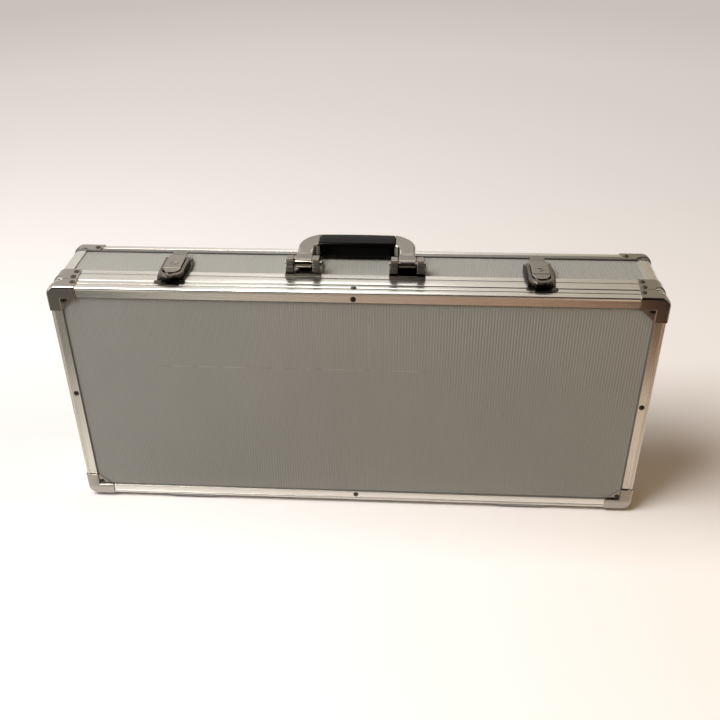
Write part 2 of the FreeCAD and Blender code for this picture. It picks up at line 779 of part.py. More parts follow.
def handle_arm():
    """The right arm: a barrel on the pivot and a broad flat arm, whose outer edge bends round in
    one long arc to the end of the grip."""
    outer = arm_out - elbow_inset
    back = grip_y + grip_width / 2 + elbow_proud
    start, end = Vector(outer, back - elbow_length, 0), Vector(grip_half, back, 0)
    chord = end - start
    square = Vector(chord.y, -chord.x, 0).normalize()
    way = (start + end) / 2 + square * elbow_bulge
    inner_y = grip_y - grip_width / 2
    bend = arm_in - grip_half
    reach = bend * math.sqrt(0.5)
    foot = pivot_y + barrel_radius
    points = [(arm_in, pivot_y), (arm_out, pivot_y), (arm_out, foot), (outer, foot + elbow_inset),
              (start.x, start.y), (way.x, way.y, end.x, end.y), (grip_half, inner_y),
              (grip_half + reach, inner_y - bend + reach, arm_in, inner_y - bend)]
    low, high = arm_low, pivot_height + arm_rise
    flat = plan(points, low, high)
    long_edges = [e for e in flat.Edges if abs(e.BoundBox.ZLength) < 1e-6
                  and e.BoundBox.YMin > pivot_y + barrel_radius / 2]
    flat = flat.makeFillet(arm_edge_radius, long_edges)
    near, far = pivot_y, pivot_y + ear_back
    wedge = [Vector(0, near, pivot_height + barrel_radius), Vector(0, far, high), Vector(0, far, 2 * high),
             Vector(0, near, 2 * high)]
    above = Part.Face(Part.makePolygon(wedge + wedge[:1])).extrude(Vector(case_width, 0, 0))
    roll = rod(barrel_radius, (barrel_in, barrel_out), pivot_y, pivot_height)
    return roll.fuse(flat.cut(above)).removeSplitter()


arm = handle_arm()
core = rod(core_radius, (-grip_half, grip_half), grip_y, pivot_height)
frame = arm.fuse([arm.mirror(Vector(0, 0, 0), Vector(1, 0, 0)), core])
frame = frame.cut(rod(handle_pin_radius + turning_gap, (-arm_out, arm_out), pivot_y, pivot_height))
handle["handle_frame"] = on_side(frame.removeSplitter(), "top")
grip = box((-grip_half, grip_half), (grip_y - grip_width / 2, grip_y + grip_width / 2),
           (pivot_height - grip_thickness / 2, pivot_height + grip_thickness / 2))
grip = grip.makeFillet(grip_corner, [e for e in grip.Edges if e.BoundBox.XLength > grip_half])
grip = grip.cut(rod(core_radius + core_fit, (-grip_half, grip_half), grip_y, pivot_height))
handle["handle_grip"] = on_side(grip, "top")

# Latches: a base, a lever, a hook that the lever carries, a lock in the lever, and a strike
# on the lid. The hook's claw stands just above the ridge of the strike.
lever_y = lid_depth + lever_pivot_y
hook_y = lever_y + hook_crank
lever_half = lever_width / 2
skirt_inner = lever_half - lever_skirt
plate_under = lever_height - lever_plate
tab_high = lever_height - tab_drop
tab_low = tab_high - tab_thickness
pin_half = math.sqrt(lever_half ** 2 - (lever_half - lever_nose) ** 2) - moving_gap
ear_out = pin_half - lever_lug_thickness - moving_gap
lever_low = latch_base_thickness + moving_gap
lever_back = lever_y + lever_length
lock_middle = lid_depth + lock_y
hook_in = lever_half + side_gap
hook_out = hook_in + hook_rail
hook_low = latch_base_thickness + moving_gap
hook_end = hook_y + lever_pivot_height - hook_low
ridge_top = strike_thickness + strike_ridge_height
claw_low = ridge_top + moving_gap
cam_low = latch_base_thickness + moving_gap * 3
cam_high = cam_low + cam_thickness
keeper_low = cam_high + moving_gap
keeper_out = skirt_inner - moving_gap
cam_sweep = keeper_out - keeper_thickness - moving_gap
cam_reach = math.sqrt(cam_sweep ** 2 - (cam_width / 2) ** 2)


def latch_base():
    """The base, with two ears for the lever's pin, a keeper for the lock's cam and a wall at
    each side behind the hook."""
    start = lid_depth + latch_base_front
    end = start + latch_base_length
    half, bulge = latch_base_width / 2, latch_base_bulge / 2
    belly = (start + end) / 2
    shape = stepped_base([(-half, start), (half, start), (bulge, belly, half, end), (-half, end),
                          (-bulge, belly, -half, start)], latch_base_thickness)
    for side in (-1, 1):
        outer = side * ear_out
        inner = outer - side * lever_ear_thickness
        span = (min(inner, outer), max(inner, outer))
        ear = rod(lever_ear_radius, span, lever_y, lever_pivot_height)
        root = box(span, (lever_y - lever_ear_radius, lever_y + lever_ear_radius), (0, lever_pivot_height))
        wall = box((side * hook_in, side * hook_out), (hook_end + moving_gap, lid_depth + wall_end),
                   (0, wall_height))
        shape = shape.fuse([ear, root, wall])
    y = (lock_middle - keeper_length / 2, lock_middle + keeper_length / 2)
    upright = box((-keeper_out, -keeper_out + keeper_thickness), y, (0, keeper_low + keeper_thickness))
    shelf = box((-keeper_out, -keeper_reach), y, (keeper_low, keeper_low + keeper_thickness))
    shape = shape.fuse([upright, shelf]).removeSplitter()
    return shape.cut(rod(lever_pin_radius + pin_fit, (-lever_half, lever_half), lever_y, lever_pivot_height))


def latch_lever():
    """The lever: a plate with a skirt at each side, a rounded nose that slopes down in front of
    a small step, a boss for the lock, and a thumb tab at the foot of its rear wall."""
    nose = lever_y - lever_nose
    points = [(lever_half, nose + lever_half), (lever_half, lever_back), (-lever_half, lever_back),
              (-lever_half, nose + lever_half), (0, nose, lever_half, nose + lever_half)]
    whole = plan(points, lever_low, lever_height)
    hollow = box((-skirt_inner, skirt_inner), (nose - 1, lever_back + 1), (lever_low, plate_under))
    step = lever_y + step_y
    slope = outline((nose, lever_height - step_drop), (step, lever_height - step_edge),
                    (step, lever_height), (nose, lever_height))
    shape = whole.cut([hollow, bar(slope, lever_width)])
    boss = post(lock_radius + lock_boss_wall, 0, lock_middle, (plate_under - lock_boss_depth, lever_height))
    tab_half = tab_width / 2
    tab_end = lever_back + tab_length
    tab = plan([(tab_half, lever_back - lever_skirt), (tab_half, tab_end - tab_half),
                (0, tab_end, -tab_half, tab_end - tab_half), (-tab_half, lever_back - lever_skirt)],
               tab_low, tab_high)
    rear = box((-lever_half, lever_half), (lever_back - lever_skirt, lever_back), (tab_low, lever_height))
    lugs = []
    for span in ((-pin_half, -pin_half + lever_lug_thickness), (pin_half - lever_lug_thickness, pin_half)):
        lugs.append(rod(lever_ear_radius, span, lever_y, lever_pivot_height))
        lugs.append(box(span, (lever_y - lever_ear_radius, lever_y + lever_ear_radius),
                        (lever_pivot_height, plate_under)))
    shape = shape.fuse([boss, tab, rear] + lugs).removeSplitter()
    bores = [rod(lever_pin_radius + turning_gap, (-lever_half, lever_half), lever_y, lever_pivot_height),
             rod(trunnion_radius + turning_gap, (-lever_half, lever_half), hook_y, lever_pivot_height),
             post(lock_radius + turning_gap, 0, lock_middle, (0, lever_height + 1))]
    return shape.cut(bores)


def latch_hook():
    """The hook: two rails and a rounded front with a claw, on two short trunnions."""
    start = lid_depth - hook_front_y
    front_in = start + hook_front_thickness
    outer = [(hook_out, start + hook_out), (hook_out, hook_end), (-hook_out, hook_end),
             (-hook_out, start + hook_out), (0, start, hook_out, start + hook_out)]
    behind = hook_end + hook_rail
    inner = [(hook_in, front_in + hook_in), (hook_in, behind), (-hook_in, behind),
             (-hook_in, front_in + hook_in), (0, front_in, hook_in, front_in + hook_in)]
    shape = plan(outer, hook_low, hook_height).cut(plan(inner, hook_low, hook_height))
    over_strike = box((-hook_out, hook_out), (0, rim_front), (0, claw_low))
    heel = box((-hook_out, hook_out), (hook_y, hook_end + hook_rail), (0, lever_pivot_height))
    turn = rod(hook_end - hook_y, (-hook_out, hook_out), hook_y, lever_pivot_height)
    shape = shape.cut([over_strike, heel.cut(turn)])
    for side in (-1, 1):
        span = (min(side * skirt_inner, side * hook_in), max(side * skirt_inner, side * hook_in))
        shape = shape.fuse(rod(trunnion_radius, span, hook_y, lever_pivot_height))
    return shape.removeSplitter()


def lock_core():
    """The lock's plug, with a keyway, a stem and the cam that turns under the keeper."""
    plug = post(lock_radius, 0, lock_middle, (plate_under - lock_boss_depth, lever_height + lock_proud))
    stem = post(lock_stem_radius, 0, lock_middle, (cam_low, plate_under))
    cam = box((-cam_width / 2, cam_width / 2), (lock_middle, lock_middle + cam_reach), (cam_low, cam_high))
    hub = post(cam_width / 2, 0, lock_middle, (cam_low, cam_high))
    keyway = box((-keyway_length / 2, keyway_length / 2),
                 (lock_middle - keyway_width / 2, lock_middle + keyway_width / 2),
                 (lever_height - keyway_depth, lever_height + 1))
    return plug.fuse([stem, cam, hub]).removeSplitter().cut(keyway)


def latch_strike():
    """The strike on the lid: a plate with a pointed nose at each side and a raised ridge."""
    back = lid_back - slot_gap
    start = back - strike_length
    half, nose = strike_width / 2, strike_nose_width / 2
    shoulder = (start + back) / 2
    plate = plan([(-nose, start), (nose, start), (half, shoulder), (half, back), (-half, back),
                  (-half, shoulder)], 0, strike_thickness)
    ridge = box((-nose, nose), (back - strike_ridge_thickness, back), (0, ridge_top))
    return plate.fuse(ridge).removeSplitter()


latch_pins = []
base_shape, lever_shape, hook_shape = latch_base(), latch_lever(), latch_hook()
lock_shape, strike_shape = lock_core(), latch_strike()
pin_shape = rod(lever_pin_radius, (-pin_half, pin_half), lever_y, lever_pivot_height)
for name, middle in (("left", -latch_offset), ("right", latch_offset)):
    move = Vector(middle, 0, 0)
    body["latch_base_" + name] = on_side(base_shape.translated(move), "top")
    lid["latch_strike_" + name] = on_side(strike_shape.translated(move), "top")
    latches["latch_lever_" + name] = on_side(lever_shape.translated(move), "top")
    latches["latch_hook_" + name] = on_side(hook_shape.translated(move), "top")
    latches["lock_core_" + name] = on_side(lock_shape.translated(move), "top")
    latch_pins.append(on_side(pin_shape.translated(move), "top"))
    rivet_y = lid_depth + latch_base_front + latch_base_length - base_rivet_inset
    spread = latch_base_width / 2 - rivet_head_radius - slot_gap
    for along in (middle - spread, middle + spread):
        add_side_rivet(body_rivets, body_holes, "top", along, rivet_y, latch_base_thickness,
                       latch_base_thickness + side_panel_recess + side_panel_thickness)


def chip_tray():
    """The tray: one shell with troughs for ten rows of chips in two banks, and wells between
    the banks for two packs of cards, five dice and the dealer's button."""
    half_w = case_width / 2 - inner_face - tray_clearance
    half_h = case_height / 2 - inner_face - tray_clearance
    top_y = rim_front + tray_drop
    floor_y = panel_back - wall_thickness
    bank_in = half_w - tray_margin - chip_bank_length
    block = tray_block(half_w, half_h, top_y, floor_y)
    inside = tray_block(half_w - tray_wall, half_h - tray_wall, top_y + tray_wall, floor_y + 1)
    hollows, walls = [], []
    for row in range(chip_rows):
        z = (row - (chip_rows - 1) / 2) * chip_pitch
        for start in (-bank_in - chip_bank_length, bank_in):
            hollows.append(trough(start, start + chip_bank_length, z, top_y, chip_radius))
            walls.append(trough(start - tray_wall, start + chip_bank_length + tray_wall, z, top_y,
                                chip_radius + tray_wall))
    for x, z, width, height, depth in tray_wells():
        hollows.append(well(x, z, width, height, top_y, depth))
        walls.append(well(x, z, width + 2 * tray_wall, height + 2 * tray_wall, top_y, depth + tray_wall))
    x, z = button_place()
    hollows.append(round_well(x, z, button_well_radius, top_y, button_well_depth))
    walls.append(round_well(x, z, button_well_radius + tray_wall, top_y, button_well_depth + tray_wall))
    return block.cut(inside.cut(walls)).cut(hollows).removeSplitter()


def tray_block(half_w, half_h, start, end):
    """A block in the middle of the case between two depths."""
    return Part.makeBox(2 * half_w, end - start, 2 * half_h,
                        Vector(-half_w, front + start, side_middle - half_h))


def trough(left, right, z, top_y, radius):
    """The round bottom of one row of chips."""
    base = Vector(left, front + top_y, side_middle + z)
    return Part.makeCylinder(radius, right - left, base, Vector(1, 0, 0))


def tray_wells():
    """The middle of each square well, across and up, and its width, height and depth."""
    across = (card_well_width + well_gap) / 2
    stack = card_well_height + well_gap + dice_well_height + well_gap + 2 * button_well_radius
    card_z = (stack - card_well_height) / 2
    dice_z = stack / 2 - card_well_height - well_gap - dice_well_height / 2
    return [(-across, card_z, card_well_width, card_well_height, card_well_depth),
            (across, card_z, card_well_width, card_well_height, card_well_depth),
            (0, dice_z, dice_well_width, dice_well_height, dice_well_depth)]


def button_place():
    """The middle of the round well for the dealer's button."""
    stack = card_well_height + well_gap + dice_well_height + well_gap + 2 * button_well_radius
    return 0, button_well_radius - stack / 2


def well(x, z, width, height, top_y, depth):
    """A square well, open towards the lid."""
    return Part.makeBox(width, 2 * depth, height, Vector(
        x - width / 2, front + top_y - depth, side_middle + z - height / 2))


def round_well(x, z, radius, top_y, depth):
    """A round well, open towards the lid."""
    return Part.makeCylinder(radius, 2 * depth, Vector(x, front + top_y - depth, side_middle + z),
                             Vector(0, 1, 0))


body["chip_tray"] = chip_tray()

drill(lid, lid_holes)
drill(body, body_holes)
lid["lid_rivets"] = Part.makeCompound(lid_rivets)
body["body_rivets"] = Part.makeCompound(body_rivets)
body["hinge_pins"] = Part.makeCompound(hinge_pins)
body["handle_pins"] = Part.makeCompound(handle_pins)
body["latch_pins"] = Part.makeCompound(latch_pins)
body["feet"] = Part.makeCompound(feet)
for nodes in (body, lid, handle, latches):
    save(nodes)
print(len(body) + len(lid) + len(handle) + len(latches), "nodes")
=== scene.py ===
import json
import math

import bmesh
import bpy
from mathutils import Euler, Matrix, Vector

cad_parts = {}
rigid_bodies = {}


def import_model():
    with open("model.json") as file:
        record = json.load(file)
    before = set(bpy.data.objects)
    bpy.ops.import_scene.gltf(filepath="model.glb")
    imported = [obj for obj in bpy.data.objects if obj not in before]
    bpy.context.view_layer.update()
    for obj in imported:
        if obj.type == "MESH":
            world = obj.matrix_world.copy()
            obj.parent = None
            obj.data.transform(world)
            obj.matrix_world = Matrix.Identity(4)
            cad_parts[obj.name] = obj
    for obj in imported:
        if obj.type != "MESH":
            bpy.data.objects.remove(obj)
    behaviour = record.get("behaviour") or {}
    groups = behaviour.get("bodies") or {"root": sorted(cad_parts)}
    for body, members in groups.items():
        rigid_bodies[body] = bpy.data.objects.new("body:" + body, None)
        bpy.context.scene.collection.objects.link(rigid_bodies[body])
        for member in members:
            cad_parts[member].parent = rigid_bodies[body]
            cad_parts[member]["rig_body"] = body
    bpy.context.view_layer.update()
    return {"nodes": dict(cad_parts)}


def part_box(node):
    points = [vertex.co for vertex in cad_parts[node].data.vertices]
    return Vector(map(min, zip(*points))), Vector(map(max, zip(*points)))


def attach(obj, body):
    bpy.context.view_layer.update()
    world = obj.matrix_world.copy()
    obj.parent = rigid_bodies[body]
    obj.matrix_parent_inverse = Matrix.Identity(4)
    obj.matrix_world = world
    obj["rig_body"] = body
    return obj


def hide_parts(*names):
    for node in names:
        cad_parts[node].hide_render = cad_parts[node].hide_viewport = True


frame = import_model()
nodes = frame["nodes"]
mm = 0.001

# ---- Frames: lid, rim and back ----
# Twelve mitred bars of extruded 6063 aluminium, satin anodised. The die leaves fine lines along
# each bar, so its sheen is drawn out lengthwise, and the saw's mitres are hidden by the caps.


def colour(code):
    """An sRGB hex colour as the linear values that a shader takes."""
    parts = [int(code[start:start + 2], 16) / 255 for start in (0, 2, 4)]
    return [part / 12.92 if part <= 0.04045 else ((part + 0.055) / 1.055) ** 2.4 for part in parts] + [1]


def add(tree, kind, inputs, **settings):
    """Adds a shader node. An input takes a value, or the socket of another node."""
    node = tree.nodes.new("ShaderNode" + kind)
    for name, value in settings.items():
        setattr(node, name, value)
    for name, value in inputs.items():
        if isinstance(value, bpy.types.NodeSocket):
            tree.links.new(value, node.inputs[name])
        else:
            node.inputs[name].default_value = value
    return node


def finish(name, base, metallic, roughness):
    """A new material and its shader, with the object's own coordinates for its patterns."""
    material = bpy.data.materials.new(name)
    material.use_nodes = True
    tree = material.node_tree
    shader = tree.nodes["Principled BSDF"]
    shader.inputs["Base Color"].default_value = colour(base)
    shader.inputs["Metallic"].default_value = metallic
    shader.inputs["Roughness"].default_value = roughness
    place = add(tree, "TexCoord", {}).outputs["Object"]
    return material, tree, shader, place


def band(tree, place, axis, middle, start, end, values):
    """A value that changes between two distances from a middle, measured along an axis."""
    along = add(tree, "SeparateXYZ", {"Vector": place}).outputs[axis]
    off = add(tree, "Math", {0: along, 1: middle}, operation="SUBTRACT").outputs[0]
    away = add(tree, "Math", {0: off}, operation="ABSOLUTE").outputs[0]
    return add(tree, "MapRange", {"Value": away, "From Min": start, "From Max": end,
                                  "To Min": values[0], "To Max": values[1]}).outputs["Result"]


def shaded(tree, tint, shades):
    """A tint that each of the shades multiplies."""
    for shade in shades:
        tint = add(tree, "Mix", {0: 1.0, 6: tint, 7: shade}, data_type="RGBA",
                   blend_type="MULTIPLY").outputs[2]
    return tint


# Painted shade darkens the aluminium where the lid meets the body, in the grooves, and along the
# front edge of the back frame, where the gap and the grooves fall into shade. Each line has its
# place from front to back, half its width, and the share of light that it leaves.
parting = (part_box("lid_frame_top")[1].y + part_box("body_rim_top")[0].y) / 2
back_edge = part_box("back_frame_top")[0].y
painted_shade_lines = ((parting, 1.15 * mm, 0.22), (parting - 7.35 * mm, 0.7 * mm, 0.55),
               (parting + 12.4 * mm, 0.7 * mm, 0.6), (back_edge, 1.0 * mm, 0.4),
               (back_edge + 2.2 * mm, 3.4 * mm, 0.4))


def anodised_aluminium(name, line_scale):
    """Satin aluminium with die lines along the axis whose scale is small."""
    material, tree, shader, place = finish(name, "ebe8e2", 1, 0.22)
    drawn = add(tree, "Mapping", {"Vector": place, "Scale": line_scale}).outputs["Vector"]
    lines = add(tree, "TexNoise", {"Vector": drawn, "Scale": 1, "Detail": 4,
                                   "Roughness": 0.65}).outputs["Fac"]
    cloud = add(tree, "TexNoise", {"Vector": place, "Scale": 22, "Detail": 3}).outputs["Fac"]
    sheen = add(tree, "MapRange", {"Value": lines, "From Min": 0.25, "From Max": 0.75,
                                   "To Min": 0.21, "To Max": 0.34}).outputs["Result"]
    tree.links.new(sheen, shader.inputs["Roughness"])
    tint = add(tree, "Mix", {0: cloud, 6: colour("e3e0d9"), 7: colour("f3f0ea")},
               data_type="RGBA").outputs[2]
    streak = add(tree, "MapRange", {"Value": lines, "From Min": 0.2, "From Max": 0.8,
                                    "To Min": 0.86, "To Max": 1.08}).outputs["Result"]
    # Painted shade along the parting gap, the grooves and the back frame's front edge.
    groove_shade = [band(tree, place, "Y", level, half * 0.7, half, (dark, 1)) for level, half, dark in painted_shade_lines]
    tree.links.new(shaded(tree, tint, [streak, *groove_shade]), shader.inputs["Base Color"])
    bump = add(tree, "Bump", {"Height": lines, "Strength": 0.25, "Distance": 0.05 * mm}).outputs["Normal"]
    tree.links.new(bump, shader.inputs["Normal"])
    return material


# The die lines are 0.1 to 0.5 mm apart; the coarser ones show at arm's length.
die_line, along_line = 1400, 6
aluminium_along = anodised_aluminium("anodised_aluminium_along", (along_line, die_line, die_line))
aluminium_up = anodised_aluminium("anodised_aluminium_up", (die_line, die_line, along_line))
aluminium_through = anodised_aluminium("anodised_aluminium_through", (die_line, along_line, die_line))


def made(name, work, material):
    """A new object in the scene, whose mesh is the finished work."""
    mesh = bpy.data.meshes.new(name)
    work.to_mesh(mesh)
    work.free()
    mesh.materials.append(material)
    piece = bpy.data.objects.new(name, mesh)
    bpy.context.scene.collection.objects.link(piece)
    return piece


def softened(name, material, width, fold=0):
    """A CAD piece's copy, joined up, with its outer corners rounded, that stands for the piece.
    A pressed cap's inner fold can be rounded wider."""
    source = nodes[name]
    work = bmesh.new()
    work.from_mesh(source.data)
    bmesh.ops.remove_doubles(work, verts=work.verts, dist=0.004 * mm)
    bmesh.ops.dissolve_limit(work, angle_limit=math.radians(0.5), verts=work.verts, edges=work.edges)
    if fold:
        # The fold's edges lie in the cap's flat face, well inside its outline.
        low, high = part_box(name)
        face = low.y if low.y < -high.y else high.y
        rim = 5 * mm
        bends = []
        for edge in work.edges:
            first, second = (vert.co for vert in edge.verts)
            inside = all(low[axis] + rim < (first[axis] + second[axis]) / 2 < high[axis] - rim
                         or abs(first[axis] - second[axis]) > rim for axis in (0, 2))
            if edge.is_convex and inside and max(abs(first.y - face), abs(second.y - face)) < 1e-5:
                bends.append(edge)
        bmesh.ops.bevel(work, geom=bends, offset=fold, segments=5, profile=0.5, affect="EDGES",
                        material=-1, clamp_overlap=False)
    corners = [edge for edge in work.edges if edge.is_manifold and edge.is_convex
               and edge.calc_face_angle() > math.radians(30)]
    bmesh.ops.bevel(work, geom=corners, offset=width, segments=2, profile=0.5, affect="EDGES",
                    material=-1, clamp_overlap=False)
    piece = made(name + "_finished", work, material)
    mesh = piece.data
    for layer in ("custom_normal", "sharp_face", "sharp_edge"):
        if layer in mesh.attributes:
            mesh.attributes.remove(mesh.attributes[layer])
    mesh.shade_smooth()
    mesh.set_sharp_from_angle(angle=math.radians(40))
    level = piece.modifiers.new("flat_faces_stay_flat", "WEIGHTED_NORMAL")
    level.keep_sharp = True
    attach(piece, source["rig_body"])
    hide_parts(name)


extruded_edge = 0.15 * mm
for frame_name in ("lid_frame", "body_rim", "back_frame"):
    for side in ("top", "bottom"):
        softened(frame_name + "_" + side, aluminium_along, extruded_edge)
    for side in ("left", "right"):
        softened(frame_name + "_" + side, aluminium_up, extruded_edge)

# ---- Corner posts ----
# Short aluminium extrusions between the side panels. They run from the lid side to the back,
# and their lines run the same way.
for corner in ("top_right", "top_left", "bottom_right", "bottom_left"):
    softened("corner_post_" + corner, aluminium_through, extruded_edge)

# ---- Panels ----
# Hardboard faced with grey ABS sheet, embossed with fine upright ribs. The ribs take the light
# in a close stripe, and years of use have left two long rubbed lines on the lid.
rib_pitch = 2.65 * mm
rib_depth = 0.16 * mm


def embossed_abs(name, face=None, rubs=()):
    """Grey ABS sheet with a fine grain. A face panel, given as its middle and half its size in
    X and Z, has a painted shade along its border, where the frame's lip shades it, and can have
    rubbed lines. Each of those has an axis and its place on it, then the axis that it runs along,
    with its middle and half its length."""
    material, tree, shader, place = finish(name, "989790", 0, 0.42)
    cloud = add(tree, "TexNoise", {"Vector": place, "Scale": 9, "Detail": 4,
                                   "Roughness": 0.6}).outputs["Fac"]
    # The grain is drawn 0.9 mm wide, coarser than the real one, so that it shows.
    grain = add(tree, "TexNoise", {"Vector": place, "Scale": 1100, "Detail": 2}).outputs["Fac"]
    both = add(tree, "Mix", {0: 0.35, 2: cloud, 3: grain}).outputs[0]
    tint = add(tree, "Mix", {0: both, 6: colour("8b8c87"), 7: colour("9d9e99")},
               data_type="RGBA").outputs[2]
    shades = []
    if face:
        # Painted shade along the panel's border, where the frame's lip shades it.
        for axis, (middle, half) in face.items():
            shades.append(band(tree, place, axis, middle, half - 1.8 * mm, half - 0.8 * mm, (1, 0.5)))
    for axis, line_at, across, middle, half in rubs:
        run = add(tree, "TexNoise", {"Vector": place, "Scale": 38, "Detail": 3,
                                     "Roughness": 0.7}).outputs["Fac"]
        dash = add(tree, "MapRange", {"Value": run, "From Min": 0.42, "From Max": 0.58,
                                      "To Min": -0.2, "To Max": 0.25}).outputs["Result"]
        line = band(tree, place, axis, line_at, 0.4 * mm, 0.7 * mm, (1, 0))
        length = band(tree, place, across, middle, half * 0.8, half, (1, 0))
        mask = add(tree, "Math", {0: line, 1: length}, operation="MULTIPLY").outputs[0]
        shades.append(add(tree, "Math", {0: dash, 1: mask, 2: 1}, operation="MULTIPLY_ADD").outputs[0])
    tree.links.new(shaded(tree, tint, shades), shader.inputs["Base Color"])
    sheen = add(tree, "MapRange", {"Value": cloud, "From Min": 0.3, "From Max": 0.7,
                                   "To Min": 0.36, "To Max": 0.5}).outputs["Result"]
    tree.links.new(sheen, shader.inputs["Roughness"])
    bump = add(tree, "Bump", {"Height": grain, "Strength": 0.3, "Distance": 0.05 * mm}).outputs["Normal"]
    tree.links.new(bump, shader.inputs["Normal"])
    return material


# The frame's front border is what shows round a panel.
lid_low, lid_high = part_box("lid_panel")
lid_middle = (lid_low.z + lid_high.z) / 2
border = 10.8 * mm
frame_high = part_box("lid_frame_top")[1]
face_panel = {"X": (0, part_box("lid_frame_right")[1].x - border),
              "Z": (lid_middle, frame_high.z - border - lid_middle)}
panel_abs = embossed_abs("embossed_grey_abs")
back_abs = embossed_abs("embossed_grey_abs_back", face_panel)
lid_abs = embossed_abs("embossed_grey_abs_lid", face_panel,
                       (("Z", lid_middle + 38 * mm, "X", -55 * mm, 145 * mm),
                        ("X", 14 * mm, "Z", lid_middle + 74 * mm, 36 * mm)))


def ribbed_panel(name, material, outwards, across, chamfer):
    """A panel whose outer face is pressed into ribs. Across points over the ribs, and the ribs
    run at a right angle to it. Chamfer is how much its corners are cut off."""
    low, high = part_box(name)
    middle = (low + high) / 2
    along = Vector(outwards).cross(Vector(across))
    turn = Matrix((Vector(across), along, Vector(outwards))).transposed()
    half = [abs((high - low).dot(axis)) / 2 for axis in (Vector(across), along, Vector(outwards))]
    count = round(2 * half[0] / rib_pitch)
    work = bmesh.new()
    bmesh.ops.create_grid(work, x_segments=4 * count, y_segments=1, size=1)
    bmesh.ops.scale(work, vec=(half[0], half[1], 1), verts=work.verts)
    step = half[0] / (2 * count)
    valleys = [v for v in work.verts if round((v.co.x + half[0]) / step) % 4 in (2, 3)]
    bmesh.ops.translate(work, vec=(0, 0, -rib_depth), verts=valleys)
    shell = bmesh.ops.extrude_face_region(work, geom=work.faces[:])
    under = [part for part in shell["geom"] if isinstance(part, bmesh.types.BMVert)]
    for vert in under:
        vert.co.z = -2 * half[2]
    for sign_x, sign_y in ((1, 1), (1, -1), (-1, 1), (-1, -1)):
        if chamfer:
            point = Vector((sign_x * (half[0] - chamfer), sign_y * half[1], 0))
            cut = bmesh.ops.bisect_plane(work, geom=work.verts[:] + work.edges[:] + work.faces[:],
                                         plane_co=point, plane_no=(sign_x, sign_y, 0), clear_outer=True)
            rim = [edge for edge in cut["geom_cut"] if isinstance(edge, bmesh.types.BMEdge)]
            bmesh.ops.edgeloop_fill(work, edges=rim)
    bmesh.ops.recalc_face_normals(work, faces=work.faces)
    bmesh.ops.transform(work, matrix=turn.to_4x4(), verts=work.verts)
    face = middle + Vector(outwards) * half[2]
    bmesh.ops.translate(work, vec=face, verts=work.verts)
    piece = made(name + "_ribbed", work, material)
    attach(piece, nodes[name]["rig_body"])
    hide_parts(name)


cut_corner = 4 * mm
ribbed_panel("lid_panel", lid_abs, (0, -1, 0), (1, 0, 0), cut_corner)
ribbed_panel("back_panel", back_abs, (0, 1, 0), (1, 0, 0), cut_corner)
for side, outwards, across in (("top", (0, 0, 1), (1, 0, 0)), ("bottom", (0, 0, -1), (1, 0, 0)),
                               ("right", (1, 0, 0), (0, 0, 1)), ("left", (-1, 0, 0), (0, 0, 1))):
    ribbed_panel("side_panel_" + side, panel_abs, outwards, across, 0)

# ---- Corner caps and braces ----
# Pressed from 0.9 mm mild steel, polished and nickel plated. The plating mirrors what is round
# it, with fine random scratches and a slightly uneven sheen from the press.


def plated_steel(name, base, roughness, scratch):
    """Bright plating over steel, with hairline scratches and a little unevenness."""
    material, tree, shader, place = finish(name, base, 1, roughness)
    cloud = add(tree, "TexNoise", {"Vector": place, "Scale": 60, "Detail": 3}).outputs["Fac"]
    # Scratches 1 mm wide and 8 mm long, coarser than real hairlines, so that they show.
    drawn = add(tree, "Mapping", {"Vector": place, "Scale": (900, 900, 130),
                                  "Rotation": (0.5, 0.4, 0.8)}).outputs["Vector"]
    hair = add(tree, "TexNoise", {"Vector": drawn, "Scale": 1, "Detail": 3}).outputs["Fac"]
    both = add(tree, "Mix", {0: 0.5, 2: cloud, 3: hair}).outputs[0]
    sheen = add(tree, "MapRange", {"Value": both, "From Min": 0.35, "From Max": 0.65,
                                   "To Min": roughness * 0.7, "To Max": roughness * 1.5}).outputs["Result"]
    tree.links.new(sheen, shader.inputs["Roughness"])
    bump = add(tree, "Bump", {"Height": both, "Strength": scratch, "Distance": 0.05 * mm}).outputs["Normal"]
    tree.links.new(bump, shader.inputs["Normal"])
    return material


nickel_steel = plated_steel("nickel_plated_steel", "b0aba4", 0.15, 0.25)
pressed_edge, pressed_fold = 0.22 * mm, 1.0 * mm
for corner in ("top_right", "top_left", "bottom_right", "bottom_left"):
    for cover, fold in (("lid_cap_", pressed_fold), ("back_cap_", pressed_fold), ("rim_brace_", 0)):
        softened(cover + corner, nickel_steel, pressed_edge, fold=fold)

# ---- Rivets ----
# Tubular rivets of nickel plated steel, which hold the caps, braces, hinges, handle and latches.
# The setting tool domes the head and leaves an open eye.
# The rivets' nickel is drawn much darker than the caps', a painted shade on the small domed heads.
shaded_rivet_steel = plated_steel("nickel_plated_rivet", "5e5950", 0.28, 0.15)
for name in ("lid_rivets", "body_rivets"):
    nodes[name].data.materials.clear()
    nodes[name].data.materials.append(shaded_rivet_steel)

# ---- Hinges ----
# Butt hinges of zinc plated steel strip, curled into knuckles round a steel pin and riveted to
# the underside. The zinc is duller and bluer than the caps' nickel.
zinc_steel = plated_steel("zinc_plated_steel", "a9aaab", 0.32, 0.3)
strip_edge = 0.15 * mm
for side in ("left", "right"):
    softened("hinge_body_leaf_" + side, zinc_steel, strip_edge)
    softened("hinge_lid_leaf_" + side, zinc_steel, strip_edge)
softened("hinge_pins", zinc_steel, 0.2 * mm)

# ---- Handle ----
# Die cast zinc arms and steel brackets, both chromium plated, and steel pins. The plating is
# smoother than the caps' and shows sharp highlights on the barrels.
handle_chrome = plated_steel("chromium_plated_zinc", "a09c94", 0.13, 0.12)
cast_edge = 0.5 * mm
softened("handle_frame", handle_chrome, cast_edge)
for side in ("left", "right"):
    softened("handle_bracket_" + side, handle_chrome, cast_edge)
softened("handle_pins", handle_chrome, 0.3 * mm)

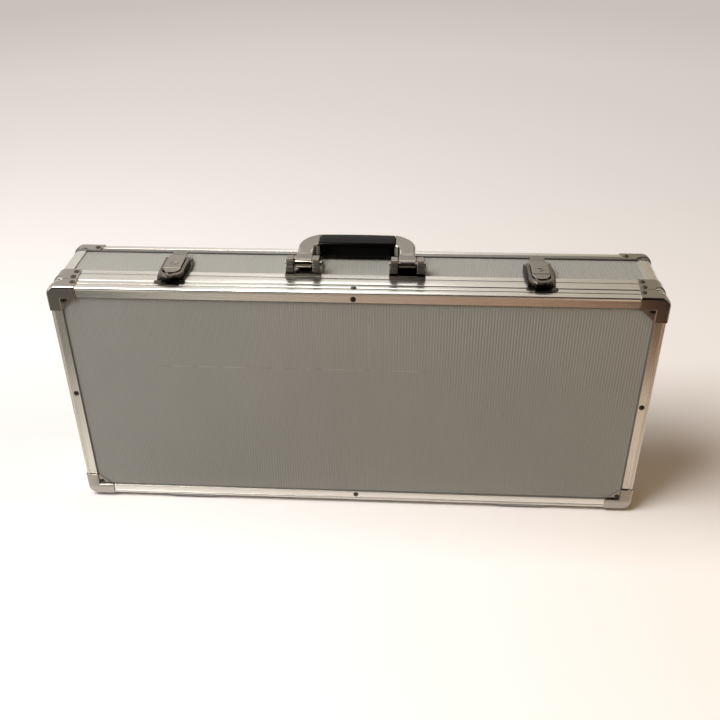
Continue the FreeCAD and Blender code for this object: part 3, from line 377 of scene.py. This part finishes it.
# ---- Grip ----
# Injection moulded black ABS round the handle's core, polished in the tool. It swells a little
# in the middle for the fingers, and its ends are rounded over against the arms. The polish
# leaves soft ripples about 6 mm long.
grip_abs, tree, shader, place = finish("moulded_black_abs", "040404", 0, 0.14)
ripple = add(tree, "TexNoise", {"Vector": place, "Scale": 180, "Detail": 2}).outputs["Fac"]
shader.inputs["Specular IOR Level"].default_value = 0.08
bump = add(tree, "Bump", {"Height": ripple, "Strength": 0.15, "Distance": 0.1 * mm}).outputs["Normal"]
tree.links.new(bump, shader.inputs["Normal"])
long_round, end_round, end_taper = 3.6 * mm, 1.0 * mm, 0.03
low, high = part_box("handle_grip")
size = high - low
work = bmesh.new()
bmesh.ops.create_cube(work, size=1)
bmesh.ops.scale(work, vec=size, verts=work.verts)
long_edges = [edge for edge in work.edges if abs(edge.verts[0].co.x - edge.verts[1].co.x) > size.x / 2]
bmesh.ops.bevel(work, geom=long_edges, offset=long_round, segments=8, profile=0.5, affect="EDGES",
                material=-1)
ends = [edge for edge in work.edges if abs(abs(edge.verts[0].co.x) - size.x / 2) < 1e-6
        and abs(edge.verts[0].co.x - edge.verts[1].co.x) < 1e-6]
bmesh.ops.bevel(work, geom=ends, offset=end_round, segments=4, profile=0.5, affect="EDGES",
                material=-1)
long_edges = [edge for edge in work.edges if abs(edge.verts[0].co.x - edge.verts[1].co.x) > size.x / 2]
bmesh.ops.subdivide_edges(work, edges=long_edges, cuts=23, use_grid_fill=True)
for vert in work.verts:
    swell = 1 - end_taper + end_taper * math.cos(math.pi * vert.co.x / size.x)
    vert.co.y *= swell
    vert.co.z *= swell
bmesh.ops.translate(work, vec=(low + high) / 2, verts=work.verts)
grip = made("moulded_grip", work, grip_abs)
grip.data.shade_smooth()
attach(grip, "handle")
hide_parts("handle_grip")

# ---- Latches ----
# Draw latches stamped and folded from steel and chromium plated, with a cast lock. The plating is
# painted darker low down, between the lever and the base's walls, a painted shade where those walls
# shade it.
latch_low, latch_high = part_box("latch_lever_left")
latch_chromes = []
# The base, hook, strike and pins take a darker copy of the lever's plating, a painted shade.
for name, base in (("chromium_plated_lever", "a8a39b"), ("chromium_plated_base", "827d75")):
    material = plated_steel(name, base, 0.12, 0.15)
    tree = material.node_tree
    place = add(tree, "TexCoord", {}).outputs["Object"]
    # Painted shade: the plating is darker towards the bottom of the latch.
    low_shade = band(tree, place, "Z", latch_low.z, 2.5 * mm, latch_high.z - latch_low.z - 1.2 * mm,
                (0.35, 1))
    shader = tree.nodes["Principled BSDF"]
    tree.links.new(shaded(tree, colour(base), [low_shade]), shader.inputs["Base Color"])
    latch_chromes.append(material)
lever_chrome, shaded_base_chrome = latch_chromes
for side in ("left", "right"):
    softened("latch_base_" + side, shaded_base_chrome, 0.2 * mm)
    softened("latch_lever_" + side, lever_chrome, 0.35 * mm)
    softened("latch_hook_" + side, shaded_base_chrome, 0.3 * mm)
    softened("lock_core_" + side, lever_chrome, 0.2 * mm)
    softened("latch_strike_" + side, shaded_base_chrome, 0.2 * mm)
softened("latch_pins", shaded_base_chrome, 0.1 * mm)

# ---- Feet ----
# Four moulded rubber bumpers, matt black, glued under the rim and the bottom panel to keep the
# hinges clear of the table. Their grit is drawn 1 mm wide, so that it shows.
rubber, tree, shader, place = finish("moulded_rubber", "1b1b1a", 0, 0.75)
grit = add(tree, "TexNoise", {"Vector": place, "Scale": 900, "Detail": 3}).outputs["Fac"]
bump = add(tree, "Bump", {"Height": grit, "Strength": 0.4, "Distance": 0.1 * mm}).outputs["Normal"]
tree.links.new(bump, shader.inputs["Normal"])
softened("feet", rubber, 1.0 * mm)

# ---- Chip tray ----
# Vacuum formed polystyrene, flocked with black nylon fibre that scatters light like velvet. The
# fibres are drawn 0.6 mm wide, coarser than real ones, so that they show.
flock, tree, shader, place = finish("flocked_polystyrene", "151516", 0, 0.95)
shader.inputs["Sheen Weight"].default_value = 0.35
shader.inputs["Sheen Roughness"].default_value = 0.4
shader.inputs["Sheen Tint"].default_value = colour("8a8a90")
nap = add(tree, "TexNoise", {"Vector": place, "Scale": 55, "Detail": 4, "Roughness": 0.7}).outputs["Fac"]
fibre = add(tree, "TexNoise", {"Vector": place, "Scale": 1600, "Detail": 2}).outputs["Fac"]
tint = add(tree, "Mix", {0: nap, 6: colour("101011"), 7: colour("202022")}, data_type="RGBA").outputs[2]
tree.links.new(tint, shader.inputs["Base Color"])
bump = add(tree, "Bump", {"Height": fibre, "Strength": 0.7, "Distance": 0.3 * mm}).outputs["Normal"]
tree.links.new(bump, shader.inputs["Normal"])
softened("chip_tray", flock, 0.8 * mm)

# ---- Lid pad ----
# A sheet of charcoal polyether foam, glued inside the lid. Its cut edges round over and its face
# is slightly wavy. The cells are drawn 1.6 mm wide, coarser than real ones, so that they show.
foam, tree, shader, place = finish("charcoal_foam", "2b2b2c", 0, 1.0)
cells = add(tree, "TexVoronoi", {"Vector": place, "Scale": 620}, feature="F1").outputs["Distance"]
shade = add(tree, "MapRange", {"Value": cells, "From Min": 0.1, "From Max": 0.7,
                               "To Min": 1.2, "To Max": 0.55}).outputs["Result"]
tree.links.new(shaded(tree, colour("303031"), [shade]), shader.inputs["Base Color"])
bump = add(tree, "Bump", {"Height": cells, "Strength": 0.8, "Distance": 0.4 * mm}).outputs["Normal"]
tree.links.new(bump, shader.inputs["Normal"])
edge_width, edge_drop, ripple_height = 12 * mm, 2.2 * mm, 0.25 * mm
low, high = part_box("lid_foam")
size = high - low
work = bmesh.new()
bmesh.ops.create_grid(work, x_segments=108, y_segments=44, size=0.5)
bmesh.ops.scale(work, vec=(size.x, size.z, 1), verts=work.verts)
shell = bmesh.ops.extrude_face_region(work, geom=work.faces[:])
upper = [part for part in shell["geom"] if isinstance(part, bmesh.types.BMVert)]
bmesh.ops.translate(work, vec=(0, 0, size.y), verts=upper)
for vert in upper:
    edge_x = (size.x / 2 - abs(vert.co.x)) / edge_width
    edge_y = (size.z / 2 - abs(vert.co.y)) / edge_width
    nearness = max(0.0, 1 - edge_x) ** 2, max(0.0, 1 - edge_y) ** 2
    wave = math.sin(vert.co.x * 31) * math.sin(vert.co.y * 43 + 1)
    vert.co.z -= edge_drop * min(1.0, sum(nearness)) + ripple_height * (1 + wave)
bmesh.ops.recalc_face_normals(work, faces=work.faces)
turn = Matrix.Rotation(math.radians(-90), 4, "X")
bmesh.ops.transform(work, matrix=turn, verts=work.verts)
bmesh.ops.translate(work, vec=((low.x + high.x) / 2, low.y, (low.z + high.z) / 2), verts=work.verts)
pad = made("lid_pad", work, foam)
pad.data.shade_smooth()
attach(pad, "lid")
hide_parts("lid_foam")

# ---- Floor ----
# A wide sheet of matt white paper. Away from the case it shows a little brighter than it lights
# the case, so that it stays pale right up to the horizon. Across the case's depth, in front of and
# behind it, that lift fades out, a painted shade that deepens the case's shadow.


def seen_rays(tree):
    """1 for a ray that shows the background: from the camera, a mirror or glass."""
    path = add(tree, "LightPath", {}).outputs
    mirror = add(tree, "Math", {0: path["Is Camera Ray"], 1: path["Is Glossy Ray"]},
                 operation="MAXIMUM").outputs[0]
    return add(tree, "Math", {0: mirror, 1: path["Is Transmission Ray"]}, operation="MAXIMUM").outputs[0]


paper, tree, shader, place = finish("matt_paper", "f4f0ed", 0, 0.9)
seen = seen_rays(tree)
away = add(tree, "VectorMath", {"Vector": place}, operation="LENGTH").outputs["Value"]
near_lift = add(tree, "MapRange", {"Value": away, "From Min": 0.4, "From Max": 1.8,
                                   "To Min": 0.2, "To Max": 0.35}).outputs["Result"]
far_lift = add(tree, "MapRange", {"Value": away, "From Min": 2.6, "From Max": 6.0,
                                  "To Min": 0, "To Max": 0.3}).outputs["Result"]
lift = add(tree, "Math", {0: near_lift, 1: far_lift}, operation="ADD").outputs[0]
# Painted shade: the lift fades out near the case, in front and behind.
depth = add(tree, "SeparateXYZ", {"Vector": place}).outputs["Y"]
front = add(tree, "MapRange", {"Value": depth, "From Min": -130 * mm, "From Max": -50 * mm,
                               "To Min": 1, "To Max": 0}).outputs["Result"]
behind = add(tree, "MapRange", {"Value": depth, "From Min": 60 * mm,
                                "From Max": 240 * mm}).outputs["Result"]
clear = add(tree, "Math", {0: front, 1: behind}, operation="ADD").outputs[0]
raised = add(tree, "Math", {0: clear, 1: lift}, operation="MULTIPLY").outputs[0]
glow = add(tree, "Math", {0: seen, 1: raised}, operation="MULTIPLY").outputs[0]
tree.links.new(glow, shader.inputs["Emission Strength"])
white = add(tree, "Mix", {0: seen, 6: colour("cbc7c2"), 7: colour("eceaea")}, data_type="RGBA").outputs[2]
tree.links.new(white, shader.inputs["Base Color"])
shader.inputs["Emission Color"].default_value = colour("fff9f4")
work = bmesh.new()
bmesh.ops.create_circle(work, cap_ends=True, segments=64, radius=8)
floor = made("paper_floor", work, paper)

# ---- Cards ----
# Painted cards that only mirrors see. In front, two lying, one standing and one overhead give
# bright metal its contrast, greyer on the left and browner on the right.


def painted_card(name, middle, size, turn, shades):
    """A card that is lying (turn 0) or standing (90), with shades at places along X, in metres."""
    paint, tree, shader, place = finish(name + "_paint", shades[0][1], 0, 0.8)
    side = add(tree, "SeparateXYZ", {"Vector": place}).outputs["X"]
    share = add(tree, "MapRange", {"Value": side, "From Min": -1, "From Max": 1}).outputs["Result"]
    ramp = add(tree, "ValToRGB", {"Fac": share})
    stops = ramp.color_ramp.elements
    for number, (along, code) in enumerate(shades):
        stop = stops[number] if number < 2 else stops.new(1)
        stop.position = (along + 1) / 2
        stop.color = colour(code)
    tree.links.new(ramp.outputs["Color"], shader.inputs["Base Color"])
    work = bmesh.new()
    bmesh.ops.create_grid(work, x_segments=1, y_segments=1, size=0.5)
    bmesh.ops.scale(work, vec=(*size, 1), verts=work.verts)
    bmesh.ops.rotate(work, matrix=Matrix.Rotation(math.radians(turn), 3, "X"), verts=work.verts)
    bmesh.ops.translate(work, vec=middle, verts=work.verts)
    sheet = made(name, work, paint)
    sheet.visible_camera = False
    sheet.visible_diffuse = False
    sheet.visible_shadow = False
    sheet.visible_transmission = False


painted_card("card_lying", (0, -1.28, 1 * mm), (5, 2), 0,
             ((-0.38, "62615b"), (-0.29, "b4b3ad"), (0.15, "a98f7d"), (0.35, "947865"), (0.42, "2a0d04")))
painted_card("card_near", (0, -0.17, 1 * mm), (5, 0.22), 0,
             ((-0.42, "84827d"), (-0.34, "b4b1ac"), (-0.29, "e0ddd8"), (-0.25, "747370"), (0.22, "968c7f"),
              (0.3, "dad1c7")))
painted_card("card_standing", (0, -2.3, 2.0), (5, 4), 90, ((-0.9, "2e2b28"), (0.9, "1c100a")))
painted_card("card_over", (0, -1.3, 4.0), (5, 2), 0, ((-0.9, "2e2b28"), (0.9, "1c100a")))

# ---- Light ----
# A pale room with two soft lamps high on the left in front, weaker ones behind and at the left,
# and a weak warm one on the right that mirrors don't show.
world = bpy.data.worlds.new("pale_room")
bpy.context.scene.world = world
world.use_nodes = True
tree = world.node_tree
tree.nodes.clear()
seen = seen_rays(tree)
sky = add(tree, "TexCoord", {}).outputs["Generated"]
aim = add(tree, "SeparateXYZ", {"Vector": sky})
strength = add(tree, "MapRange", {"Value": aim.outputs["Z"], "To Min": 0.05,
                                  "To Max": 0.17}).outputs["Result"]
lit = add(tree, "Background", {"Color": colour("ffeedc"), "Strength": strength}).outputs[0]
share = add(tree, "MapRange", {"Value": aim.outputs["X"], "From Min": 0.06,
                               "From Max": 0.22}).outputs["Result"]
pale = add(tree, "Mix", {0: share, 6: colour("e2ddd6"), 7: colour("b4a998")}, data_type="RGBA").outputs[2]
shown = add(tree, "Background", {"Color": pale, "Strength": 1.0}).outputs[0]
mixed = add(tree, "MixShader", {0: seen, 1: lit, 2: shown}).outputs[0]
add(tree, "OutputWorld", {"Surface": mixed})


def lamp(name, code, power, size, place, aim):
    """A square soft lamp at one place, aimed at another."""
    data = bpy.data.lights.new(name, "AREA")
    data.color = colour(code)[:3]
    data.energy = power
    data.size = size
    source = bpy.data.objects.new(name, data)
    bpy.context.scene.collection.objects.link(source)
    source.location = place
    source.rotation_euler = (Vector(aim) - Vector(place)).to_track_quat("-Z", "Y").to_euler()
    return source


lamp("key_lamp", "fffdfb", 4.8, 0.5, (-0.80, -0.60, 1.15), (0, 0, 0.15))
lamp("ceiling_lamp", "fff9f2", 29, 0.9, (-0.70, -0.45, 1.70), (0, 0, 0.2))
lamp("back_lamp", "fffdfa", 3.5, 0.8, (-0.25, 1.90, 2.05), (0, 0, 0.2))
lamp("side_lamp", "e4ecff", 1.6, 0.5, (-1.00, -0.35, 0.50), (0, 0, 0.15))
lamp("warm_lamp", "ffbc46", 2, 0.5, (1.00, -0.50, 0.60), (0, 0, 0.15)).visible_glossy = False

# ---- Camera ----
# It stands in front of the case, a little to its right, and looks down on it, half a degree out
# of level.
camera_data = bpy.data.cameras.new("camera")
camera_data.sensor_width = 36
camera_data.lens = 44.83
camera_data.clip_start = 0.01
camera = bpy.data.objects.new("camera", camera_data)
bpy.context.scene.collection.objects.link(camera)
camera.location = (0.04883, -0.74813, 0.62959)
level_turn = Euler((math.radians(57.31), 0, math.radians(3.505)), "XYZ").to_matrix()
camera.rotation_euler = (level_turn @ Matrix.Rotation(math.radians(-0.566), 3, "Z")).to_euler()
bpy.context.scene.camera = camera
bpy.context.scene.view_settings.view_transform = "Standard"
